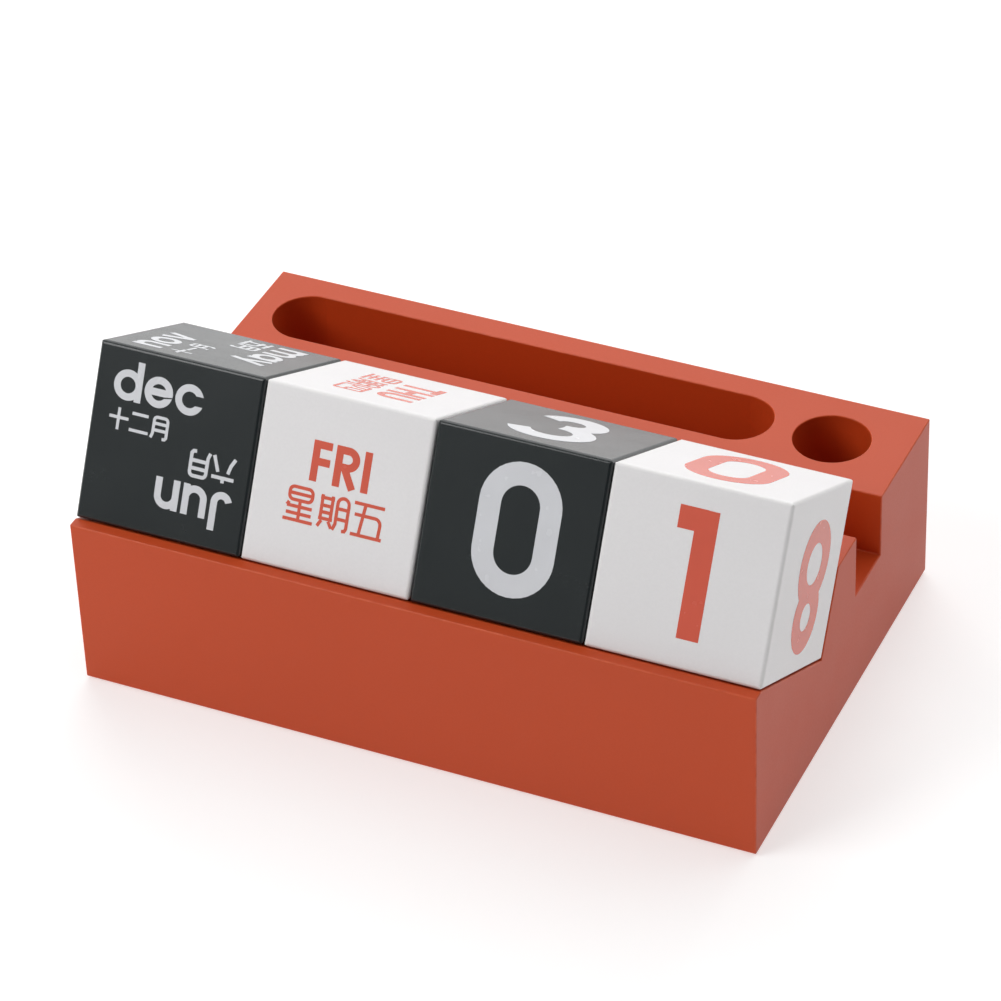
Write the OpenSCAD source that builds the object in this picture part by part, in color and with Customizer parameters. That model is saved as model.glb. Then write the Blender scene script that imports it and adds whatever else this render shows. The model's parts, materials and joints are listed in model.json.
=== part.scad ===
// Perpetual desk calendar: four loose block cubes sit tilted in the V channel
// of a moulded stand, with a phone groove, a long pen slot and a round pen cup
// behind them.  Millimetres, +Z up.  The origin is the middle of the footprint
// at the level of the foot pads' lower faces; +X runs along the row of cubes
// and the cubes face -Y.

/* [Cubes] */
// Edge length of one calendar cube
cube_size = 40; // [34:0.5:44]
// Gap between neighbouring cubes
cube_gap = 0.3; // [0.2:0.05:0.6]
// Gap left between a seated cube and the channel's two faces
seat_gap = 0.3; // [0.2:0.05:0.5]
// Radius on the twelve edges of a cube
cube_edge_r = 0.9; // [0.4:0.1:2]
// Wall thickness of the hollow cube
cube_wall = 2; // [1.6:0.1:3]
// Thickness of the cap that closes a cube
cap_t = 2; // [1.5:0.1:3]
// Rim of cube wall left showing around the cap
cap_rim = 1.2; // [1.1:0.1:1.5]

/* [Stand] */
// Depth of the stand from front to back
stand_d = 105.6; // [104:0.2:120]
// Height of the stand's top above the table
stand_h = 43.2; // [42:0.2:50]
// Angle by which the cubes lean back
tilt = 27.5; // [22:0.5:30]
// Width of the lip in front of the channel, at the top
lip_w = 2.6; // [2:0.1:4]
// Wall thickness of the moulded shell
wall = 2.4; // [2:0.1:2.6]
// Margin of the stand past the row of cubes, at each end
end_margin = 0; // [0:0.1:1]

/* [Phone groove] */
// Distance from the stand's front face to the groove
groove_y = 59; // [58.6:0.1:61]
// Width of the groove
groove_w = 15.7; // [14:0.1:16]
// Depth of the groove below the top
groove_depth = 16.1; // [12:0.1:18]

/* [Pen holders] */
// Distance from the stand's front face to the holders' centre line
pen_y = 90.6; // [90:0.1:91.5]
// Width of the long pen slot
slot_w = 17.2; // [12:0.1:17.4]
// Overall length of the long pen slot
slot_len = 123.4; // [100:0.2:124]
// Distance from the stand's left end to the long slot
slot_margin = 5.5; // [5.4:0.1:7]
// Diameter of the round pen cup
cup_d = 17.5; // [12:0.5:18]
// Distance from the stand's right end to the centre of the round cup
cup_inset = 17.7; // [16:0.1:18]
// Depth of the slot and of the cup
pen_depth = 37; // [30:0.5:37]
// Thickness of the wells' walls and floors
well_wall = 2; // [1.5:0.1:2.2]

/* [Base] */
// Thickness of the base plate
plate_t = 2.2; // [2:0.1:2.4]
// Gap between the base plate and the shell around it
plate_gap = 0.2; // [0.1:0.05:0.4]
// Diameter of a foot pad
foot_d = 14; // [10:1:15]
// Thickness of a foot pad
foot_t = 1.6; // [1.4:0.1:1.8]
// Height by which a foot pad stands out of the plate
foot_proud = 0.6; // [0.4:0.1:0.8]
// Distance between the two foot pads of a pair, along the stand
foot_span_x = 136; // [120:1:138]
// Distance between the front and rear foot pads
foot_span_y = 82; // [70:1:84]
// Distance between the two base screws of a pair, along the stand
screw_span_x = 100; // [60:1:110]
// Shank diameter of a base screw
screw_d = 2.9; // [2.5:0.1:3.5]
// Length of a base screw under its head
screw_len = 10; // [8:0.5:12]

/* [Hidden] */
$fn = 64;

// Overshoot of a cutting solid past the face that it opens
cut = 1;

// Places of the four cubes in the row, from the left
MONTH = 0;
WEEKDAY = 1;
TENS = 2;
UNITS = 3;
cube_count = 4;
cube_pitch = cube_size + cube_gap;

// Stand outline, measured from its front face (y) and from the table (z)
stand_w = cube_count * cube_pitch - cube_gap + 2 * end_margin;
base_z = foot_proud;
half_w = stand_w / 2;

// Channel corner: the floor is one cube and one seat gap long, square to the back wall
floor_len = cube_size + seat_gap;
corner_y = lip_w + floor_len * cos(tilt);
corner_z = stand_h - floor_len * sin(tilt);

// Groove and wells
groove_back = groove_y + groove_w;
groove_z = stand_h - groove_depth;
slot_r = slot_w / 2;
slot_x0 = -half_w + slot_margin + slot_r;
slot_x1 = slot_x0 + slot_len - slot_w;
cup_r = cup_d / 2;
cup_x = half_w - cup_inset;
well_z = stand_h - pen_depth;

// Base plate, screws and their bosses
plate_w = stand_w - 2 * (wall + plate_gap);
plate_d = stand_d - 2 * (wall + plate_gap);
screw_front_y = 15;
screw_rear_y = groove_y + groove_w / 2;
screw_shank_r = screw_d / 2;
screw_head_r = 2.8;
screw_head_h = 2;
screw_tip_h = 1.6;
screw_tip_r = 0.5;
screw_recess = 0.4;
driver_r = 1.7;
driver_depth = 1.2;
bite = 0.25;
boss_r = 3.8;
boss_hole_h = 12;
seat_floor_t = 1.8;
cup_seat_r = 5.4;
head_room = 0.3;
seat_h = screw_recess + screw_head_h + seat_floor_t;
head_z = base_z + screw_recess + screw_head_h;
boss_z = base_z + seat_h;
pad_play = 0.2;

// Stiffening ribs under the channel
rib_t = 1.6;
rib_x = 26;
rib_z = base_z + plate_t + plate_gap;

// Cube cavity and cap
cavity = cube_size - 2 * cube_wall;
cap_size = cube_size - 2 * cap_rim;
cap_play = 0.1;
skirt_h = 5;
skirt_t = 1.2;

// Height of the channel floor at y, for a surface `depth` below it
function floor_z(y, depth) = stand_h - (y - lip_w) * tan(tilt) - depth / cos(tilt);

// Distance of the channel's back wall at height z, for a surface `depth` behind it
function back_y(z, depth) = corner_y + (z - corner_z) * tan(tilt) + depth / cos(tilt);

// Outline of the stand as seen from its right end
function stand_profile() = [
    [0, base_z],
    [stand_d, base_z],
    [stand_d, stand_h],
    [groove_back, stand_h],
    [groove_back, groove_z],
    [groove_y, groove_z],
    [groove_y, stand_h],
    [back_y(stand_h, 0), stand_h],
    [corner_y, corner_z],
    [lip_w, stand_h],
    [0, stand_h]
];

// The same outline one wall thickness further in, open at the bottom
function cavity_profile() = [
    [wall, base_z - cut],
    [wall, floor_z(wall, wall)],
    [corner_y + wall * (cos(tilt) - sin(tilt)), corner_z - wall * (cos(tilt) + sin(tilt))],
    [back_y(stand_h - wall, wall), stand_h - wall],
    [groove_y - wall, stand_h - wall],
    [groove_y - wall, groove_z - wall],
    [groove_back + wall, groove_z - wall],
    [groove_back + wall, stand_h - wall],
    [stand_d - wall, stand_h - wall],
    [stand_d - wall, base_z - cut]
];

// Moves a shape from the front-face frame to the part's frame
module from_front() {
    translate([0, -stand_d / 2, 0]) children();
}

// Extrudes a (y, z) outline along X, centred on x = 0
module prism_x(outline, length) {
    rotate([90, 0, 90])
        linear_extrude(height = length, center = true)
            polygon(outline);
}

// Upright bar with rounded ends between two x positions
module stadium(x0, x1, r, z0, z1) {
    translate([x0, pen_y, z0]) cylinder(r = r, h = z1 - z0);
    translate([x1, pen_y, z0]) cylinder(r = r, h = z1 - z0);
    translate([x0, pen_y - r, z0]) cube([x1 - x0, 2 * r, z1 - z0]);
}

// Outer walls of the long slot's well and of the cup
module well_walls() {
    well_bottom = well_z - well_wall;
    well_top = stand_h - wall / 2;
    stadium(slot_x0, slot_x1, slot_r + well_wall, well_bottom, well_top);
    translate([cup_x, pen_y, well_bottom])
        cylinder(r = cup_r + well_wall, h = well_top - well_bottom);
}

// Openings of the long slot and of the cup
module well_openings() {
    stadium(slot_x0, slot_x1, slot_r, well_z, stand_h + cut);
    translate([cup_x, pen_y, well_z]) cylinder(r = cup_r, h = pen_depth + cut);
}

// Places its children at the four base screws, at height z
module at_screws(z) {
    for (x = [-screw_span_x / 2, screw_span_x / 2])
        for (y = [screw_front_y, screw_rear_y])
            translate([x, y, z]) children();
}

// Posts that take the base screws, reaching up into the roof above them
module screw_bosses() {
    for (x = [-screw_span_x / 2, screw_span_x / 2]) {
        translate([x, screw_front_y, boss_z])
            cylinder(r = boss_r, h = floor_z(screw_front_y + boss_r, wall / 2) - boss_z);
        translate([x, screw_rear_y, boss_z])
            cylinder(r = boss_r, h = groove_z - wall / 2 - boss_z);
    }
}

// Upright ribs that stiffen the channel floor
module channel_ribs() {
    rib_profile = [
        [wall / 2, rib_z],
        [wall / 2, floor_z(wall / 2, wall / 2)],
        [corner_y, floor_z(corner_y, wall / 2)],
        [corner_y, rib_z]
    ];
    for (x = [-rib_x, rib_x])
        translate([x, 0, 0]) prism_x(rib_profile, rib_t);
}

module stand_shell() {
    color([0.80, 0.27, 0.16]) from_front() difference() {
        union() {
            difference() {
                prism_x(stand_profile(), stand_w);
                prism_x(cavity_profile(), stand_w - 2 * wall);
            }
            well_walls();
            screw_bosses();
            channel_ribs();
        }
        well_openings();
        at_screws(boss_z - cut) cylinder(r = screw_shank_r - bite, h = boss_hole_h + cut);
    }
}

module base_plate() {
    color([0.72, 0.24, 0.15]) from_front() difference() {
        union() {
            translate([-plate_w / 2, wall + plate_gap, base_z]) cube([plate_w, plate_d, plate_t]);
            at_screws(base_z) cylinder(r = cup_seat_r, h = seat_h);
        }
        at_screws(base_z - cut) cylinder(r = screw_head_r + head_room, h = head_z - base_z + cut);
        at_screws(base_z) cylinder(r = screw_shank_r + head_room, h = seat_h + cut);
        for (x = [-1, 1])
            for (y = [-1, 1])
                translate([x * foot_span_x / 2, stand_d / 2 + y * foot_span_y / 2, base_z - cut])
                    cylinder(r = foot_d / 2 + pad_play, h = foot_t - foot_proud + cut);
    }
}

// Self-tapping screw, head down, with a cross-shaped driver recess in the head
module base_screw(x, y) {
    color([0.62, 0.62, 0.64]) from_front() translate([x, y, head_z]) difference() {
        union() {
            translate([0, 0, -screw_head_h]) cylinder(r = screw_head_r, h = screw_head_h);
            cylinder(r = screw_shank_r, h = screw_len - screw_tip_h);
            translate([0, 0, screw_len - screw_tip_h])
                cylinder(r1 = screw_shank_r, r2 = screw_tip_r, h = screw_tip_h);
        }
        for (turn = [0, 90])
            rotate([0, 0, turn])
                translate([-driver_r, -driver_r / 4, -screw_head_h - cut])
                    cube([2 * driver_r, driver_r / 2, driver_depth + cut]);
    }
}

module screw_front_left() {
    base_screw(-screw_span_x / 2, screw_front_y);
}
module screw_front_right() {
    base_screw(screw_span_x / 2, screw_front_y);
}
module screw_rear_left() {
    base_screw(-screw_span_x / 2, screw_rear_y);
}
module screw_rear_right() {
    base_screw(screw_span_x / 2, screw_rear_y);
}

// Round pad set into the plate; its lower edge is bevelled
module foot_pad(side_x, side_y) {
    pad_bevel = foot_proud / 2;
    color([0.15, 0.15, 0.16])
        translate([side_x * foot_span_x / 2, side_y * foot_span_y / 2, 0]) {
            cylinder(r1 = foot_d / 2 - pad_bevel, r2 = foot_d / 2, h = pad_bevel);
            translate([0, 0, pad_bevel]) cylinder(r = foot_d / 2, h = foot_t - pad_bevel);
        }
}

module foot_front_left() {
    foot_pad(-1, -1);
}
module foot_front_right() {
    foot_pad(1, -1);
}
module foot_rear_left() {
    foot_pad(-1, 1);
}
module foot_rear_right() {
    foot_pad(1, 1);
}

// Puts a cube-frame shape into its seat.  In the cube's frame the origin is the
// middle of its lower rear edge, with the cube in front of it and above it.
module in_seat(place) {
    seat_x = (place - (cube_count - 1) / 2) * cube_pitch;
    from_front() translate([seat_x, corner_y, corner_z]) rotate([-tilt, 0, 0])
        translate([0, -seat_gap, seat_gap]) children();
}

// Square bar along Z with rounded edges, centred on the Z axis
module rounded_bar(size, r) {
    linear_extrude(height = size, center = true) {
        square([size - 2 * r, size], center = true);
        square([size, size - 2 * r], center = true);
        for (x = [-1, 1])
            for (y = [-1, 1])
                translate([x, y] * (size / 2 - r)) circle(r = r, $fn = 32);
    }
}

// Block with all twelve edges rounded, centred on the origin
module rounded_block(size, r) {
    intersection() {
        rounded_bar(size, r);
        rotate([90, 0, 0]) rounded_bar(size, r);
        rotate([0, 90, 0]) rounded_bar(size, r);
    }
}

// Square plate centred in the cube's footprint, between two heights
module cube_square(size, z0, z1) {
    translate([-size / 2, -cube_size / 2 - size / 2, z0]) cube([size, size, z1 - z0]);
}

// Hollow cube, open underneath, with a ledge that the cap sits against
module cube_shell(place) {
    in_seat(place) difference() {
        translate([0, -cube_size / 2, cube_size / 2]) rounded_block(cube_size, cube_edge_r);
        cube_square(cap_size, -cut, cap_t);
        cube_square(cavity, 0, cube_size - cube_wall);
    }
}

// Cap flush with the cube's underside, with a skirt that grips the cavity
module cube_cap(place) {
    grip = cavity - 2 * cap_play;
    in_seat(place) difference() {
        union() {
            cube_square(cap_size - 2 * cap_play, 0, cap_t);
            cube_square(grip, cap_t, cap_t + skirt_h);
        }
        cube_square(grip - 2 * skirt_t, cap_t, cap_t + skirt_h + cut);
    }
}

module month_shell() {
    color([0.17, 0.19, 0.20]) cube_shell(MONTH);
}
module month_cap() {
    color([0.17, 0.19, 0.20]) cube_cap(MONTH);
}
module weekday_shell() {
    color([0.93, 0.92, 0.91]) cube_shell(WEEKDAY);
}
module weekday_cap() {
    color([0.93, 0.92, 0.91]) cube_cap(WEEKDAY);
}
module tens_shell() {
    color([0.17, 0.19, 0.20]) cube_shell(TENS);
}
module tens_cap() {
    color([0.17, 0.19, 0.20]) cube_cap(TENS);
}
module units_shell() {
    color([0.93, 0.92, 0.91]) cube_shell(UNITS);
}
module units_cap() {
    color([0.93, 0.92, 0.91]) cube_cap(UNITS);
}

stand_shell();
base_plate();
screw_front_left();
screw_front_right();
screw_rear_left();
screw_rear_right();
foot_front_left();
foot_front_right();
foot_rear_left();
foot_rear_right();
month_shell();
month_cap();
weekday_shell();
weekday_cap();
tens_shell();
tens_cap();
units_shell();
units_cap();
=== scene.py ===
"""The looks of a perpetual desk calendar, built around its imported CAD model.

The stand and the hollow cubes are the CAD nodes themselves in moulded-plastic
materials.  Modifiers round the edges that the CAD leaves sharp.  The marks on
the cubes are thin films of ink, drawn here from pen strokes, one film a face.
"""

import json
import math

import bmesh
import bpy
from mathutils import Matrix, Vector, geometry


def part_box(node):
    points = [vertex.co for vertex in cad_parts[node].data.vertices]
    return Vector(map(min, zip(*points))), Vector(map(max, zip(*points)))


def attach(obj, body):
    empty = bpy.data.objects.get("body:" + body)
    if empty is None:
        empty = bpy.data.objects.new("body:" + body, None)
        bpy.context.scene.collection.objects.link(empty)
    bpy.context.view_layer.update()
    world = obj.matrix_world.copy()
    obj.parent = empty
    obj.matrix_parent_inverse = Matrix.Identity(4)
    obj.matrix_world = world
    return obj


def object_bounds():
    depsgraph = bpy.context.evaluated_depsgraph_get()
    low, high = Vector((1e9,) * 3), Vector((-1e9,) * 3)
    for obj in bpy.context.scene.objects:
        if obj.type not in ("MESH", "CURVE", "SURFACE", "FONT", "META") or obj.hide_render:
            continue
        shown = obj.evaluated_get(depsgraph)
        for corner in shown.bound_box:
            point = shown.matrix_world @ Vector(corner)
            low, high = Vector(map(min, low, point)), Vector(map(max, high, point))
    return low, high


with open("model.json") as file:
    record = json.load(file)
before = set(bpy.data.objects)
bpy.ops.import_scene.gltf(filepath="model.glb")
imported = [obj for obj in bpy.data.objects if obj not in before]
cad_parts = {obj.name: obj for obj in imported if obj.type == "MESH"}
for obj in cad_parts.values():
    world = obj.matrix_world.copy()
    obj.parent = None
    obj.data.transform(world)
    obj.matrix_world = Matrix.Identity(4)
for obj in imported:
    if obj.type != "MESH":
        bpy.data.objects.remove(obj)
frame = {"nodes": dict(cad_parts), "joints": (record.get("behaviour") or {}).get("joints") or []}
cad_low, cad_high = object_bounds()

MM = 0.001
MICRON = 0.001 * MM
CUBES = ("month", "weekday", "tens", "units")
WHITE_CUBES = ("weekday", "units")
FEET = [f"foot_{end}_{side}" for end in ("front", "rear") for side in ("left", "right")]
SCREWS = [f"screw_{end}_{side}" for end in ("front", "rear") for side in ("left", "right")]

# The cubes' own axes: they lean back, and lift along their leaning sides
LIFT = Vector(frame["joints"][0]["axis"]).normalized()
RIGHTWARD = Vector((1, 0, 0))
BACKWARD = LIFT.cross(RIGHTWARD)


def cube_block(cube):
    """A cube's centre and half its width."""
    low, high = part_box(f"{cube}_shell")
    return (low + high) / 2, (high.x - low.x) / 2


# ---------------------------------------------------------------- materials

# The paler rim of a cube, partly wear and partly a painted highlight: how far in it is at full
# strength, and where it ends
RIM_FULL = 0.3 * MM
RIM_END = 0.9 * MM


class Shader:
    """A material under construction: a Principled shader and what feeds it."""

    def __init__(self, name):
        self.material = bpy.data.materials.new(name)
        self.material.use_nodes = True
        self.tree = self.material.node_tree
        self.bsdf = self.tree.nodes["Principled BSDF"]
        self.place = self.add("ShaderNodeTexCoord").outputs["Object"]
        self.normal = None

    def add(self, kind, **settings):
        node = self.tree.nodes.new(kind)
        for key, value in settings.items():
            setattr(node, key, value)
        return node

    def link(self, source, target):
        self.tree.links.new(source, target)

    def noise(self, size, detail, stretch=(1, 1, 1)):
        """Noise about 0.5 whose features are about `size` millimetres across."""
        mapping = self.add("ShaderNodeMapping")
        mapping.inputs["Scale"].default_value = stretch
        self.link(self.place, mapping.inputs["Vector"])
        node = self.add("ShaderNodeTexNoise")
        node.inputs["Scale"].default_value = 1 / (size * MM)
        node.inputs["Detail"].default_value = detail
        self.link(mapping.outputs["Vector"], node.inputs["Vector"])
        return node.outputs["Fac"]

    def spread(self, value, low, high, start=0.3, end=0.7):
        """Maps start to end onto low to high.  Noise seldom leaves 0.3 to 0.7."""
        node = self.add("ShaderNodeMapRange")
        settings = {"From Min": start, "From Max": end, "To Min": low, "To Max": high}
        for socket, number in settings.items():
            node.inputs[socket].default_value = number
        self.link(value, node.inputs["Value"])
        return node.outputs["Result"]

    def combine(self, first, second, operation="ADD"):
        node = self.add("ShaderNodeMath", operation=operation)
        self.link(first, node.inputs[0])
        self.link(second, node.inputs[1])
        return node.outputs["Value"]

    def blend(self, factor, first, second):
        """A colour between two colours, each a socket or a plain (r, g, b)."""
        node = self.add("ShaderNodeMix", data_type="RGBA")
        self.link(factor, node.inputs["Factor"])
        for colour, socket in ((first, node.inputs["A"]), (second, node.inputs["B"])):
            if isinstance(colour, tuple):
                socket.default_value = (*colour, 1)
            else:
                self.link(colour, socket)
        return node.outputs["Result"]

    def rims(self, centre, axes, half):
        """1 along the edges of a block, given by its centre, axes and half size."""
        depths = []
        for axis in axes:
            along = self.add("ShaderNodeVectorMath", operation="DOT_PRODUCT")
            along.inputs[1].default_value = axis
            self.link(self.place, along.inputs[0])
            here = centre.dot(axis)
            above = self.spread(along.outputs["Value"], half, 0, here, here + half)
            below = self.spread(along.outputs["Value"], 0, half, here - half, here)
            depths.append(self.combine(above, below, "MINIMUM"))
        first, second, third = depths
        nearer = self.combine(first, second, "MINIMUM")
        farther = self.combine(first, second, "MAXIMUM")
        middle = self.combine(nearer, self.combine(farther, third, "MINIMUM"), "MAXIMUM")
        return self.spread(middle, 1, 0, RIM_FULL, RIM_END)

    def bump(self, height, depth):
        """Adds a relief that is `depth` micrometres high where `height` is 1."""
        node = self.add("ShaderNodeBump")
        node.inputs["Distance"].default_value = depth * MICRON
        self.link(height, node.inputs["Height"])
        if self.normal is not None:
            self.link(self.normal, node.inputs["Normal"])
        self.normal = node.outputs["Normal"]
        self.link(self.normal, self.bsdf.inputs["Normal"])

    def finish(self, colour=None, roughness=None, **plain):
        if colour is not None:
            self.link(colour, self.bsdf.inputs["Base Color"])
        if roughness is not None:
            self.link(roughness, self.bsdf.inputs["Roughness"])
        for name, value in plain.items():
            self.bsdf.inputs[name.replace("_", " ")].default_value = value
        return self.material


def scaled(colour, factor):
    return tuple(channel * factor for channel in colour)


def moulded_plastic(name, colour, roughness, wear_and_highlight=None, block=None, grain=5, **plain):
    """Spark-eroded moulding: fine grain and faint flow marks.

    With a paler colour given, patches of it show as wear from hands and as a painted highlight:
    along the edges of `block` (centre, axes, half size), or all over if there is none.
    `grain` is the depth of the grain in micrometres.
    """
    shader = Shader(name)
    cloud = shader.spread(shader.noise(30, 3.0, stretch=(0.6, 1, 1)), 0, 1)
    speck = shader.spread(shader.noise(0.6, 1.0), 0, 1)
    tone = shader.blend(cloud, scaled(colour, 0.985), scaled(colour, 1.015))
    tone = shader.blend(shader.spread(speck, 0, 0.35, 0, 1), tone, scaled(colour, 0.94))
    # Paler patches: wear, and a painted highlight along the edges
    if wear_and_highlight:
        patches = shader.spread(shader.noise(3, 4.0), 0.1, 0.8)
        if block:
            patches = shader.combine(patches, shader.rims(*block), "MULTIPLY")
        tone = shader.blend(patches, tone, wear_and_highlight)
    gloss = shader.spread(shader.noise(12, 4.0), roughness - 0.015, roughness + 0.015)
    gloss = shader.combine(gloss, shader.spread(speck, -0.012, 0.012, 0, 1))
    shader.bump(shader.noise(30, 1.0), 12)
    shader.bump(shader.noise(0.35, 2.0), grain)
    return shader.finish(tone, gloss, **plain)


def printed_ink(name, colour):
    """Pad-printed ink: nearly even in colour, with a little ripple in its gloss."""
    shader = Shader(name)
    cloud = shader.spread(shader.noise(8, 2.0), 0, 1)
    tone = shader.blend(cloud, scaled(colour, 0.98), scaled(colour, 1.02))
    gloss = shader.spread(shader.noise(3, 2.0), 0.245, 0.275)
    shader.bump(shader.noise(1, 1.0), 2)
    return shader.finish(tone, gloss, IOR=1.62)


def foam_rubber(name, colour):
    """Closed-cell foot pad: small pits and dust-grey flecks."""
    cells_per_metre = 2600
    shader = Shader(name)
    cells = shader.add("ShaderNodeTexVoronoi")
    cells.inputs["Scale"].default_value = cells_per_metre
    shader.link(shader.place, cells.inputs["Vector"])
    dust = shader.spread(shader.noise(3, 4.0), 0, 1, 0.5, 0.75)
    tone = shader.blend(dust, colour, scaled(colour, 2.2))
    gloss = shader.spread(cells.outputs["Distance"], 0.72, 0.9, 0, 0.8)
    shader.bump(cells.outputs["Distance"], 50)
    return shader.finish(tone, gloss)


def zinc_steel(name, colour):
    """Zinc-plated screw: blotchy plating with fine turning marks."""
    shader = Shader(name)
    patches = shader.spread(shader.noise(1.2, 3.0), 0, 1)
    tone = shader.blend(patches, scaled(colour, 0.82), colour)
    gloss = shader.spread(shader.noise(0.5, 2.0), 0.28, 0.42)
    shader.bump(shader.noise(0.2, 1.0, stretch=(1, 1, 6)), 5)
    return shader.finish(tone, gloss, Metallic=1.0)


STAND_RED = (0.542, 0.062, 0.011)
# Paler red for the stand's bevels: wear, and a painted highlight
WORN_HIGHLIT_RED = (0.64, 0.105, 0.035)
INK_RED = (0.70, 0.104, 0.057)
CHARCOAL = (0.012, 0.017, 0.018)
# Paler charcoal for the dark cubes' rims: wear, and a painted highlight
WORN_HIGHLIT_CHARCOAL = (0.019, 0.024, 0.025)
WHITE = (0.845, 0.83, 0.835)
# Paler white for the white cubes' rims: wear, and a painted highlight
WORN_HIGHLIT_WHITE = (0.86, 0.845, 0.83)
INK_WHITE = (0.70, 0.71, 0.74)

SATIN = {"IOR": 1.4, "Specular_IOR_Level": 0.38}
stand_plastic = moulded_plastic("stand_plastic", STAND_RED, 0.42, **SATIN)
# The bevels carry the paler red in patches: wear, and a painted highlight
stand_edge = moulded_plastic("stand_edge", STAND_RED, 0.36, wear_and_highlight=WORN_HIGHLIT_RED, **SATIN)
base_plastic = moulded_plastic("base_plastic", scaled(STAND_RED, 0.9), 0.52, **SATIN)


def cube_plastic(cube):
    """The dark or the white plastic of one cube, paler along the cube's edges: wear, and a painted
    highlight.
    """
    centre, half = cube_block(cube)
    block = (centre, (RIGHTWARD, BACKWARD, LIFT), half)
    if cube in WHITE_CUBES:
        return moulded_plastic(
            f"{cube}_white_plastic", WHITE, 0.4, wear_and_highlight=WORN_HIGHLIT_WHITE, block=block, IOR=1.48
        )
    return moulded_plastic(
        f"{cube}_dark_plastic", CHARCOAL, 0.25, wear_and_highlight=WORN_HIGHLIT_CHARCOAL, block=block,
        grain=2.5, IOR=1.55,
    )


white_ink = printed_ink("white_ink", INK_WHITE)
red_ink = printed_ink("red_ink", INK_RED)
foot_rubber = foam_rubber("foot_rubber", (0.022, 0.022, 0.024))
screw_steel = zinc_steel("screw_steel", (0.60, 0.60, 0.62))


# ---------------------------------------------------------------- CAD nodes

# Facets that turn by less than FLAT are one flat face, and an edge that turns by
# more than SHARP is rounded
FLAT = math.radians(0.5)
SHARP = math.radians(25)


def make_facet_shading():
    """A modifier's node group that shades every facet of a piece flat."""
    group = bpy.data.node_groups.new("facet_shading", "GeometryNodeTree")
    for way in ("INPUT", "OUTPUT"):
        group.interface.new_socket("Geometry", in_out=way, socket_type="NodeSocketGeometry")
    entry = group.nodes.new("NodeGroupInput")
    shade = group.nodes.new("GeometryNodeSetShadeSmooth")
    leave = group.nodes.new("NodeGroupOutput")
    shade.inputs["Shade Smooth"].default_value = False
    group.links.new(entry.outputs[0], shade.inputs["Geometry"])
    group.links.new(shade.outputs["Geometry"], leave.inputs[0])
    return group


facet_shading = make_facet_shading()


def dress(node, material, edge_radius=0.0, edge_material=None):
    """Gives a CAD node its material, and rounds its edges by `edge_radius`.

    With no radius, the node's edges are round in the CAD already.  They stay as
    they are, in facets a fraction of a millimetre wide.
    """
    piece = frame["nodes"][node]
    piece.data.materials.clear()
    piece.data.materials.append(material)
    if edge_material:
        piece.data.materials.append(edge_material)
    weld = piece.modifiers.new("weld", "WELD")
    weld.merge_threshold = MICRON
    flat = piece.modifiers.new("flat_faces", "DECIMATE")
    flat.decimate_type = "DISSOLVE"
    flat.angle_limit = FLAT
    if not edge_radius:
        piece.modifiers.new("facets", "NODES").node_group = facet_shading
    else:
        bevel = piece.modifiers.new("rounded_edges", "BEVEL")
        bevel.width = edge_radius
        bevel.segments = 3
        bevel.limit_method = "ANGLE"
        bevel.angle_limit = SHARP
        bevel.use_clamp_overlap = False
        bevel.harden_normals = True
        bevel.material = 1 if edge_material else -1
        normals = piece.modifiers.new("face_normals", "WEIGHTED_NORMAL")
        normals.keep_sharp = True


dress("stand_shell", stand_plastic, 0.3 * MM, stand_edge)
dress("base_plate", base_plastic, 0.25 * MM, stand_edge)
for name in SCREWS:
    dress(name, screw_steel, 0.15 * MM)
for name in FEET:
    dress(name, foot_rubber, 0.2 * MM)
for name in CUBES:
    plastic = cube_plastic(name)
    dress(f"{name}_shell", plastic)
    dress(f"{name}_cap", plastic, 0.15 * MM)


# ---------------------------------------------------------------- pen strokes

# Points nearer than SAME, in millimetres, are one point.  A triangle is dropped
# if twice its area, in square millimetres, is under SLIVER.  A mitred corner
# reaches out to at most half the pen over MITRE.
SAME = 1e-6
SLIVER = 1e-5
MITRE = 0.35


def arc(x, y, radius, start, end, tall=None, steps=18):
    """Points along an arc or, if `tall` is given, along an upright ellipse."""
    tall = radius if tall is None else tall
    turns = [math.radians(start + (end - start) * k / steps) for k in range(steps + 1)]
    return [(x + radius * math.cos(a), y + tall * math.sin(a)) for a in turns]


def ring(x, y, radius):
    return arc(x, y, radius, 0, 360, steps=40)


def bars(x0, x1, *heights):
    return [[(x0, y), (x1, y)] for y in heights]


def rounded_box(x0, y0, x1, y1, radius):
    """A closed line round a box with round corners."""
    corners = ((x1, y1, 0), (x0, y1, 90), (x0, y0, 180), (x1, y0, 270))
    line = []
    for x, y, turn in corners:
        centre_x = x - radius if x == x1 else x + radius
        centre_y = y - radius if y == y1 else y + radius
        line += arc(centre_x, centre_y, radius, turn, turn + 90, steps=6)
    return line + line[:1]


def ribbon(points, width):
    """A stroke as quads: the line's left and right edges, with mitred corners."""
    closed = math.dist(points[0], points[-1]) < SAME
    line = [Vector(p) for p in (points[:-1] if closed else points)]
    count = len(line)
    sides = []
    for k, here in enumerate(line):
        before = line[k - 1] if closed or k else None
        after = line[(k + 1) % count] if closed or k < count - 1 else None
        way_in = (here - before).normalized() if before is not None else None
        way_out = (after - here).normalized() if after is not None else None
        way_in = way_out if way_in is None else way_in
        way_out = way_in if way_out is None else way_out
        across = Vector((-way_in.y - way_out.y, way_in.x + way_out.x)).normalized()
        square = Vector((-way_in.y, way_in.x))
        reach = width / 2 / max(MITRE, across.dot(square))
        sides.append((here + across * reach, here - across * reach))
    last = count if closed else count - 1
    return [
        (sides[k][0], sides[k][1], sides[(k + 1) % count][1], sides[(k + 1) % count][0])
        for k in range(last)
    ]


def triangles(outline):
    """A convex or self-crossing outline as triangles that all turn the same way."""
    first, pieces = outline[0], []
    for second, third in zip(outline[1:], outline[2:]):
        twice_area = (second - first).cross(third - first)
        if abs(twice_area) > SLIVER:
            pieces.append((first, second, third) if twice_area > 0 else (first, third, second))
    return pieces


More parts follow.
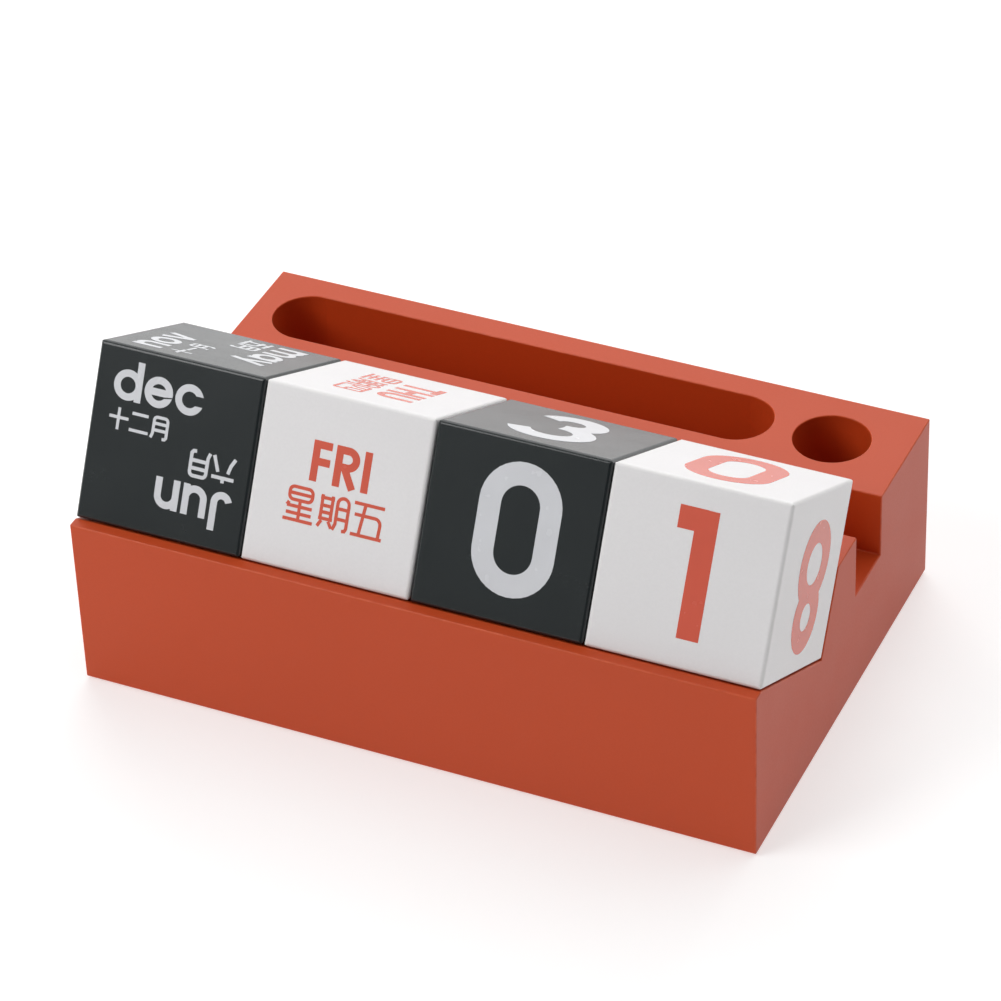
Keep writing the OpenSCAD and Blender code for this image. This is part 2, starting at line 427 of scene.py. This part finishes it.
class Ink:
    """Flat outlines that are inked, less the outlines that are left bare."""

    def __init__(self, inked=(), bare=()):
        self.inked, self.bare = list(inked), list(bare)

    @classmethod
    def drawn(cls, strokes, pen, bare=()):
        return cls([quad for stroke in strokes for quad in ribbon(stroke, pen)], bare)

    def __add__(self, other):
        return Ink(self.inked + other.inked, self.bare + other.bare)

    def placed(self, x=0.0, y=0.0, degrees=0, scale=1.0):
        matrix = Matrix.Rotation(math.radians(degrees), 2) * scale
        inked, bare = (
            [[matrix @ Vector(corner) + Vector((x, y)) for corner in outline] for outline in kind]
            for kind in (self.inked, self.bare)
        )
        return Ink(inked, bare)

    def film(self, name):
        """One closed, flat film, one unit thick, over everything that is inked."""
        inked = [piece for outline in self.inked for piece in triangles(outline)]
        outlines = inked + self.bare
        corners, faces = [], []
        for outline in outlines:
            faces.append(list(range(len(corners), len(corners) + len(outline))))
            corners += [Vector(corner) for corner in outline]
        verts, _, tris, _, _, owners = geometry.delaunay_2d_cdt(corners, [], faces, 1, SAME)
        kept = [
            tri for tri, owner in zip(tris, owners) if owner and max(owner) < len(inked)
        ]
        mesh = bmesh.new()
        flat = [mesh.verts.new((v.x, v.y, 0)) for v in verts]
        for tri in kept:
            mesh.faces.new([flat[k] for k in tri])
        bmesh.ops.delete(mesh, geom=[v for v in flat if not v.link_faces], context="VERTS")
        bmesh.ops.recalc_face_normals(mesh, faces=mesh.faces)
        made = bmesh.ops.extrude_face_region(mesh, geom=list(mesh.faces))
        top = [v for v in made["geom"] if isinstance(v, bmesh.types.BMVert)]
        bmesh.ops.translate(mesh, verts=top, vec=(0, 0, 1))
        bmesh.ops.recalc_face_normals(mesh, faces=mesh.faces)
        data = bpy.data.meshes.new(name)
        mesh.to_mesh(data)
        mesh.free()
        return data


# Numerals, in millimetres about the numeral's centre.  3, 5, 6 and 8 share a
# wide bowl below, and 3 and 8 a narrow one above.  0 and 2 share an oval's width.
PEN = 5.0
HALF = 12.15
WIDE, NARROW, OVAL = 7.1, 5.55, 6.95
WIDE_Y, NARROW_Y, OVAL_Y = -HALF + WIDE, HALF - NARROW, HALF - OVAL
LOW, HIGH = -HALF - PEN / 2, HALF + PEN / 2

NUMERALS = {
    "0": [arc(0, OVAL_Y, OVAL, 0, 180) + arc(0, -OVAL_Y, OVAL, 180, 360) + [(OVAL, OVAL_Y)]],
    "1": [[(-4.4, 11.5), (1.9, 11.5)], [(1.9, LOW + 0.7), (1.9, HIGH - 0.7)]],
    "2": [
        arc(0, OVAL_Y, OVAL, 172, -28) + [(-5.2, -HALF + 1.0)],
        [(-8.2, -HALF), (8.2, -HALF)],
    ],
    "3": [
        arc(0, HALF - 5.3, NARROW, 165, -90, tall=5.3),
        arc(0, 6.85 - HALF, WIDE, 90, -165, tall=6.85),
    ],
    "4": [
        [(3.6, LOW), (3.6, HIGH)],
        [(-9.2, -6.4), (8.8, -6.4)],
        [(3.0, HALF), (-7.4, -6.4)],
    ],
    "5": [
        [(-6.6, HALF), (7.4, HALF)],
        [(-5.4, HALF), (-5.9, 0.6)],
        arc(0, WIDE_Y, WIDE, 140, -160),
    ],
    "6": [ring(0, WIDE_Y, WIDE), arc(5.0, WIDE_Y, 12.1, 180, 98, tall=17.2)],
    "7": [[(-8.6, HALF), (8.4, HALF)], [(7.0, HALF - 1), (-2.6, LOW)]],
    "8": [ring(0, NARROW_Y, NARROW), ring(0, WIDE_Y, WIDE)],
}
NUMERALS_BARE = {
    "8": [ring(0, NARROW_Y, NARROW - PEN / 2)[:-1], ring(0, WIDE_Y, WIDE - PEN / 2)[:-1]],
}

# Small letters for the months, in millimetres above the baseline, each with
# its width.  Round letters share one bowl, and c and e are cut open from it, by
# cuts that run to PAST, just beyond the bowl.
THIN = 1.6
BOWL = 2.62
MID = BOWL + THIN / 2
TALL = 8.9
LEFT, RIGHT = THIN / 2, 2 * BOWL + THIN / 2
TOP = 2 * MID
ROUND = 2 * BOWL + THIN
PAST = ROUND + 0.2
BOWL_RING = ring(MID, MID, BOWL)

MONTH_LETTERS = {
    "a": (ROUND, [BOWL_RING, [(RIGHT, 0), (RIGHT, TOP)]]),
    "b": (ROUND, [BOWL_RING, [(LEFT, 0), (LEFT, TALL)]]),
    "c": (ROUND, [BOWL_RING]),
    "d": (ROUND, [BOWL_RING, [(RIGHT, 0), (RIGHT, TALL)]]),
    "e": (ROUND, [BOWL_RING, [(LEFT, MID), (RIGHT, MID)]]),
    "f": (4.4, [[(1.6, 0), (1.6, 6.2)] + arc(3.6, 6.1, 2, 180, 80), [(0, 6.0), (4.0, 6.0)]]),
    "g": (ROUND, [BOWL_RING, [(RIGHT, TOP)] + arc(MID, 0.2, BOWL, 0, -130)]),
    "J": (4.9, [[(3.95, TALL)] + arc(2.2, 2.6, 1.75, 0, -165)]),
    "l": (THIN, [[(LEFT, 0), (LEFT, TALL)]]),
    "m": (10.4, [
        [(0.9, 0), (0.9, TOP)],
        arc(3.05, 3.85, 2.15, 150, 0) + [(5.2, 0)],
        arc(7.35, 3.85, 2.15, 180, 0) + [(9.5, 0)],
    ]),
    "n": (6.1, [[(0.9, 0), (0.9, TOP)], arc(3.05, 3.85, 2.15, 160, 0) + [(5.2, 0)]]),
    "o": (ROUND, [BOWL_RING]),
    "p": (ROUND, [BOWL_RING, [(LEFT, -2.0), (LEFT, TOP)]]),
    "r": (4.4, [[(0.9, 0), (0.9, TOP)], arc(3.5, 3.4, 2.6, 165, 75)]),
    "s": (5.0, [
        arc(2.5, 4.7, 1.6, 25, 270, tall=1.35) + arc(2.5, 2.1, 1.6, 90, -155, tall=1.35),
    ]),
    "t": (4.2, [[(1.7, 8.4), (1.7, 2.4)] + arc(3.5, 2.5, 1.8, 180, 280), [(0, 6.0), (4, 6.0)]]),
    "u": (6.1, [[(5.2, TOP), (5.2, 0)], [(0.9, TOP)] + arc(3.05, 3.0, 2.15, 180, 340)]),
    "v": (6.6, [[(0.8, TOP), (3.3, 0.2)], [(3.3, 0.2), (5.8, TOP)]]),
    "y": (6.6, [[(0.8, TOP), (3.4, 0.8)], [(5.8, TOP), (2.5, -1.9)]]),
}
MONTH_BARE = {
    "c": [[
        (MID, MID - 1.1), (PAST, MID - 1.1),
        (PAST, MID + 1.1), (MID, MID + 1.1),
    ]],
    "e": [[
        (MID + 1, MID - 1.2), (PAST, MID - 0.75),
        (PAST, MID - 0.5), (MID + 1, MID - 0.85),
    ]],
}

# Capitals for the weekdays, in millimetres above the baseline, each with its
# width: narrow letters of one height.
BOLD = 1.7
CAP = 9.0
SIDE = BOLD / 2
HEAD, FOOT = CAP - SIDE, SIDE


def bowl_right(x, low, high, reach):
    """A stroke out to the right, round a half circle and back."""
    radius = (high - low) / 2
    bend = arc(reach - radius, (low + high) / 2, radius, 90, -90)
    return [(x, high)] + bend + [(x, low)]


DAY_LETTERS = {
    "A": (7.0, [[(0.9, 0), (3.5, HEAD)], [(3.5, HEAD), (6.1, 0)], [(1.7, 2.5), (5.3, 2.5)]]),
    "D": (6.2, [[(SIDE, 0), (SIDE, CAP)], bowl_right(0, FOOT, HEAD, 5.35)]),
    "E": (4.7, [[(SIDE, 0), (SIDE, CAP)], *bars(0, 4.7, FOOT, HEAD), *bars(0, 4.3, 4.5)]),
    "F": (4.4, [[(SIDE, 0), (SIDE, CAP)], *bars(0, 4.4, HEAD), *bars(0, 4.3, 4.45)]),
    "H": (6.2, [[(SIDE, 0), (SIDE, CAP)], [(5.35, 0), (5.35, CAP)], *bars(SIDE, 5.35, 4.5)]),
    "I": (BOLD, [[(SIDE, 0), (SIDE, CAP)]]),
    "M": (7.8, [
        [(SIDE, 0), (SIDE, CAP)],
        [(6.95, 0), (6.95, CAP)],
        [(0.7, HEAD), (3.9, 2.2)],
        [(7.1, HEAD), (3.9, 2.2)],
    ]),
    "N": (6.4, [[(SIDE, 0), (SIDE, CAP)], [(5.55, 0), (5.55, CAP)], [(0.8, HEAD), (5.6, FOOT)]]),
    "O": (6.6, [
        arc(3.3, 6.1, 2.45, 0, 180, tall=2.05) + arc(3.3, 2.9, 2.45, 180, 360, tall=2.05)
        + [(5.75, 6.1)],
    ]),
    "R": (5.7, [
        [(SIDE, 0), (SIDE, CAP)],
        bowl_right(0, 4.45, HEAD, 4.85),
        [(2.35, 4.3), (4.75, 0)],
    ]),
    "S": (5.8, [arc(2.9, 6.45, 2.1, 20, 270, tall=1.8) + arc(2.9, 2.65, 2.1, 90, -160, tall=1.8)]),
    "T": (6.0, [*bars(0, 6.0, HEAD), [(3, 0), (3, CAP)]]),
    "U": (6.2, [[(SIDE, CAP)] + arc(3.1, 3.05, 2.25, 180, 360, tall=2.2) + [(5.35, CAP)]]),
    "W": (9.4, [
        [(0.8, CAP), (2.8, 0.6)],
        [(2.8, 0.6), (4.7, HEAD)],
        [(4.7, HEAD), (6.6, 0.6)],
        [(6.6, 0.6), (8.6, CAP)],
    ]),
}

# Characters for the same words, each drawn in a box 10 wide and 10.8 high.
CHARACTERS = {
    "一": bars(0.3, 9.7, 5.4),
    "二": bars(0.8, 9.2, 9.4) + bars(0.1, 9.9, 1.5),
    "三": bars(0.8, 9.2, 9.7) + bars(1.4, 8.6, 5.5) + bars(0.2, 9.8, 1.0),
    "四": [
        rounded_box(0.7, 1.0, 9.3, 9.7, 1.0),
        [(3.7, 9.7), (3.6, 6.4), (2.2, 4.2)],
        [(6.2, 9.7), (6.2, 5.4)] + arc(7.2, 5.4, 1.0, 180, 270, steps=5) + [(9.3, 4.4)],
    ],
    "五": bars(0.1, 9.8, 10.0) + bars(0.0, 10.0, 0.6) + [
        [(3.7, 10.0), (2.6, 0.6)],
        [(0.6, 6.6)] + arc(7.2, 4.8, 1.8, 90, 0, steps=6) + [(8.8, 0.6)],
    ],
    "六": bars(0.2, 9.8, 8.6) + [
        [(4.9, 10.5), (5.0, 8.6)],
        [(3.0, 6.5), (2.2, 3.4), (0.5, 0.3)],
        [(7.3, 6.5), (9.6, 0.3)],
    ],
    "七": [
        [(0.3, 5.8), (9.7, 7.2)],
        [(4.2, 10.4), (4.2, 2.2)] + arc(5.7, 2.2, 1.5, 180, 270, steps=6)
        + [(9.4, 0.7), (9.4, 2.6)],
    ],
    "八": [[(3.7, 9.4), (3.1, 5.0), (0.5, 0.4)], [(5.6, 10.0), (6.7, 5.0), (9.7, 0.4)]],
    "九": [
        [(0.7, 7.6), (6.7, 7.6), (6.7, 2.2)] + arc(8.1, 2.2, 1.4, 180, 270, steps=6)
        + [(9.6, 0.8), (9.6, 2.6)],
        [(3.7, 10.5), (3.7, 5.6), (0.5, 0.4)],
    ],
    "十": bars(0.0, 10.0, 6.0) + [[(4.8, 10.6), (4.8, 0.2)]],
    "日": [rounded_box(1.6, 0.8, 8.4, 10.0, 1.2), *bars(1.6, 8.4, 5.4)],
    "月": [
        [(0.7, 0.3), (1.5, 2.4)] + arc(3.2, 8.7, 1.6, 180, 90, steps=6)
        + arc(7.0, 8.7, 1.6, 90, 0, steps=6) + [(8.6, 1.4), (7.9, 0.6), (6.6, 0.5)],
        *bars(1.6, 8.6, 7.3, 4.2),
    ],
    "星": [
        rounded_box(1.3, 6.5, 8.7, 10.4, 1.4),
        *bars(1.3, 8.7, 8.45),
        [(1.5, 5.7), (0.9, 4.6)],
        *bars(0.9, 9.0, 4.6, 2.5),
        *bars(0.1, 9.7, 0.5),
        [(5.0, 6.5), (5.0, 0.5)],
    ],
    "期": [
        [(0.9, 10.1), (0.9, 3.0)],
        [(4.2, 10.1), (4.2, 3.0)],
        *bars(0.3, 4.8, 9.2, 3.0),
        *bars(0.9, 4.2, 6.9, 4.9),
        [(1.4, 2.4), (0.3, 0.4)],
        [(3.6, 2.4), (4.8, 0.5)],
        [(5.2, 0.3), (5.9, 2.2)] + arc(7.7, 8.4, 1.8, 180, 0, steps=12)
        + [(9.5, 1.4), (9.1, 0.6), (8.2, 0.5)],
        *bars(5.9, 9.5, 6.9, 3.8),
    ],
}


def word(text, letters, bare, pen, gap):
    """A word with its lower left corner at the origin, and the word's width."""
    ink, x = Ink(), 0.0
    for letter in text:
        width, strokes = letters[letter]
        ink += Ink.drawn(strokes, pen, bare.get(letter, ())).placed(x)
        x += width + gap
    return ink, x - gap


def characters(text, size, pen, gap):
    """A line of characters from the origin to the right, and the line's width."""
    scale = size / 10
    ink = Ink()
    for k, character in enumerate(text):
        ink += Ink.drawn(CHARACTERS[character], pen / scale).placed(k * (size + gap), scale=scale)
    return ink, len(text) * (size + gap) - gap


def numeral_face(numeral):
    return Ink.drawn(NUMERALS[numeral], PEN, NUMERALS_BARE.get(numeral, ()))


def month_half(name, text, size, x, name_y, text_y):
    """A month's name and, below it, its characters, both starting at x."""
    letters, _ = word(name, MONTH_LETTERS, MONTH_BARE, pen=THIN, gap=0.65)
    small, _ = characters(text, size, pen=0.17 * size ** 0.9, gap=0.35)
    return letters.placed(x, name_y) + small.placed(x, text_y)


def month_face(first, second):
    """Two months on one face: the second upside down, in larger characters."""
    upper = month_half(*first, size=4.7, x=-15.4, name_y=8.0, text_y=1.2)
    lower = month_half(*second, size=5.6, x=-16.2, name_y=6.6, text_y=-1.1)
    return upper + lower.placed(degrees=180)


def day_block(name, character):
    """A weekday: its name above its three characters, both centred on x = 0."""
    letters, width = word(name, DAY_LETTERS, {}, pen=BOLD, gap=1.0)
    line, line_width = characters("星期" + character, size=7.3, pen=0.74, gap=0.75)
    return letters.placed(-width / 2, 0.5) + line.placed(-line_width / 2, -9.1)


def two_day_face(first, second):
    """The week's last two days share a face, the second upside down."""
    off_centre, shrunk = 9.2, 0.92
    upper = day_block(*first).placed(y=off_centre)
    lower = day_block(*second).placed(y=off_centre).placed(degrees=180)
    return (upper + lower).placed(scale=shrunk)


# ---------------------------------------------------------------- cube faces

# Each face's outward normal and the direction that is up on it
FACES = {
    "front": (-BACKWARD, LIFT),
    "top": (LIFT, BACKWARD),
    "right": (RIGHTWARD, LIFT),
    "back": (BACKWARD, -LIFT),
    "left": (-RIGHTWARD, LIFT),
    "bottom": (-LIFT, -BACKWARD),
}

# What each cube shows on each face, and by how many degrees that is turned
PRINTS = {
    "month": {
        "front": (month_face(("dec", "十二月"), ("Jun", "六月")), 0),
        "top": (month_face(("nov", "十一月"), ("may", "五月")), 90),
        "right": (month_face(("sep", "九月"), ("mar", "三月")), 0),
        "back": (month_face(("aug", "八月"), ("feb", "二月")), 0),
        "left": (month_face(("oct", "十月"), ("apr", "四月")), 180),
        "bottom": (month_face(("Jul", "七月"), ("Jan", "一月")), 90),
    },
    "weekday": {
        "front": (day_block("FRI", "五"), 0),
        "top": (day_block("THU", "四"), -90),
        "right": (day_block("WED", "三"), 0),
        "back": (day_block("MON", "一"), 0),
        "left": (day_block("TUE", "二"), 180),
        "bottom": (two_day_face(("SAT", "六"), ("SUN", "日")), -90),
    },
    "tens": {
        "front": (numeral_face("0").placed(1.4, 0.7), 0),
        "top": (numeral_face("3").placed(0, 0.5), 0),
        "right": (numeral_face("5"), 0),
        "back": (numeral_face("1"), 0),
        "left": (numeral_face("4"), 180),
        "bottom": (numeral_face("2"), 0),
    },
    "units": {
        "front": (numeral_face("1").placed(0.3, 0.5), 0),
        "top": (numeral_face("0").placed(0, 0.9), 0),
        "right": (numeral_face("8").placed(-1.9, 1.1), 180),
        "back": (numeral_face("2"), 0),
        "left": (numeral_face("6"), 0),
        "bottom": (numeral_face("7"), 0),
    },
}
INK_THICKNESS = 0.04 * MM
INK_SUNK = 0.01 * MM


def place_film(cube, face, print_, turn, ink):
    """Lays one face's film on its cube, a hair proud of the plastic."""
    centre, half = cube_block(cube)
    normal, up = FACES[face]
    right = up.cross(normal)
    data = print_.placed(degrees=turn).film(f"{cube}_print_{face}")
    basis = Matrix((right, up, normal)).transposed()
    start = centre + normal * (half - INK_SUNK)
    scale = Matrix.Diagonal((MM, MM, INK_THICKNESS + INK_SUNK))
    data.transform(Matrix.Translation(start) @ (basis @ scale).to_4x4())
    film = bpy.data.objects.new(data.name, data)
    bpy.context.scene.collection.objects.link(film)
    film.data.materials.append(ink)
    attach(film, f"{cube}_cube")


for cube in CUBES:
    ink, slot = white_ink, "white_print"
    if cube in WHITE_CUBES:
        ink, slot = red_ink, "red_print"
    for face, (print_, turn) in PRINTS[cube].items():
        place_film(cube, face, print_, turn, ink)


# ---------------------------------------------------------------- studio

# The camera looks down from the right of the front with a long lens, and is
# turned a little about its own axis.  Angles are in degrees, places and the
# distance in metres, and the lens and its film in millimetres.
CAMERA_AZIMUTH = 25.48
CAMERA_ELEVATION = 37.09
CAMERA_ROLL = -2.34
CAMERA_DISTANCE = 0.9909
CAMERA_LENS = 162.4
CAMERA_FILM = 36.0
CAMERA_AIM = Vector((0.0025, -0.0078, 0.0413))

FLOOR_HALF = 3.0
FLOOR_DROP = 0.02 * MM
FLOOR_GREY = 0.6
FLOOR_GLOW = 0.5

# Each softbox's place, its width and height, and its power in watts.  They all
# face LIGHT_AIM.
LIGHT_AIM = Vector((0, 0, 0.03))
SOFTBOXES = {
    "overhead": ((0.15, 0.3, 1.2), (1.7, 1.3), 9.4),
    "rear_left": ((-0.7, 2.0, 1.65), (2.8, 2.0), 36.5),
    "rear_wall": ((-0.8, 2.2, 0.5), (2.8, 0.8), 5.5),
    "rear_right": ((1.2, 1.4, 1.4), (1.2, 1.2), 4.8),
    "front_left": ((-0.6, -0.62, 0.75), (0.65, 0.65), 6.6),
    "front_wall": ((-0.9, -2.2, 0.65), (2.4, 1.1), 2.8),
}


def make_camera():
    azimuth, elevation, roll = map(math.radians, (CAMERA_AZIMUTH, CAMERA_ELEVATION, CAMERA_ROLL))
    back = Vector((
        math.sin(azimuth) * math.cos(elevation),
        -math.cos(azimuth) * math.cos(elevation),
        math.sin(elevation),
    ))
    level_right = Vector((math.cos(azimuth), math.sin(azimuth), 0))
    level_up = back.cross(level_right)
    right = level_right * math.cos(roll) + level_up * math.sin(roll)
    up = back.cross(right)
    camera = bpy.data.objects.new("camera", bpy.data.cameras.new("camera"))
    camera.data.lens = CAMERA_LENS
    camera.data.sensor_width = CAMERA_FILM
    camera.data.clip_start = 0.05
    camera.data.clip_end = 20.0
    camera.matrix_world = (
        Matrix.Translation(CAMERA_AIM + back * CAMERA_DISTANCE)
        @ Matrix((right, up, back)).transposed().to_4x4()
    )
    bpy.context.scene.collection.objects.link(camera)
    bpy.context.scene.camera = camera


def make_floor():
    """A pale light table, just under the feet: its glow keeps shadows faint."""
    mesh = bmesh.new()
    bmesh.ops.create_grid(mesh, x_segments=8, y_segments=8, size=FLOOR_HALF)
    data = bpy.data.meshes.new("floor")
    mesh.to_mesh(data)
    mesh.free()
    floor = bpy.data.objects.new("floor", data)
    floor.location.z = cad_low.z - FLOOR_DROP
    shader = Shader("floor_paper")
    darker, paler = (FLOOR_GREY - 0.01,) * 3, (FLOOR_GREY + 0.01,) * 3
    tone = shader.blend(shader.noise(400, 2.0), darker, paler)
    glow = {"Emission_Color": (1, 1, 1, 1), "Emission_Strength": FLOOR_GLOW}
    data.materials.append(shader.finish(tone, Roughness=0.8, **glow))
    bpy.context.scene.collection.objects.link(floor)


def add_softbox(name, place, size, power):
    light = bpy.data.lights.new(name, "AREA")
    light.shape = "RECTANGLE"
    light.size, light.size_y = size
    light.energy = power
    lamp = bpy.data.objects.new(name, light)
    lamp.location = place
    lamp.rotation_euler = (LIGHT_AIM - Vector(place)).to_track_quat("-Z", "Y").to_euler()
    bpy.context.scene.collection.objects.link(lamp)


def make_world():
    """A black studio: all light comes from the softboxes and the floor."""
    world = bpy.data.worlds.new("studio")
    world.use_nodes = True
    world.node_tree.nodes["Background"].inputs["Strength"].default_value = 0
    bpy.context.scene.world = world


make_camera()
make_floor()
make_world()
for name, settings in SOFTBOXES.items():
    add_softbox(name, *settings)
bpy.context.scene.view_settings.view_transform = "Standard"
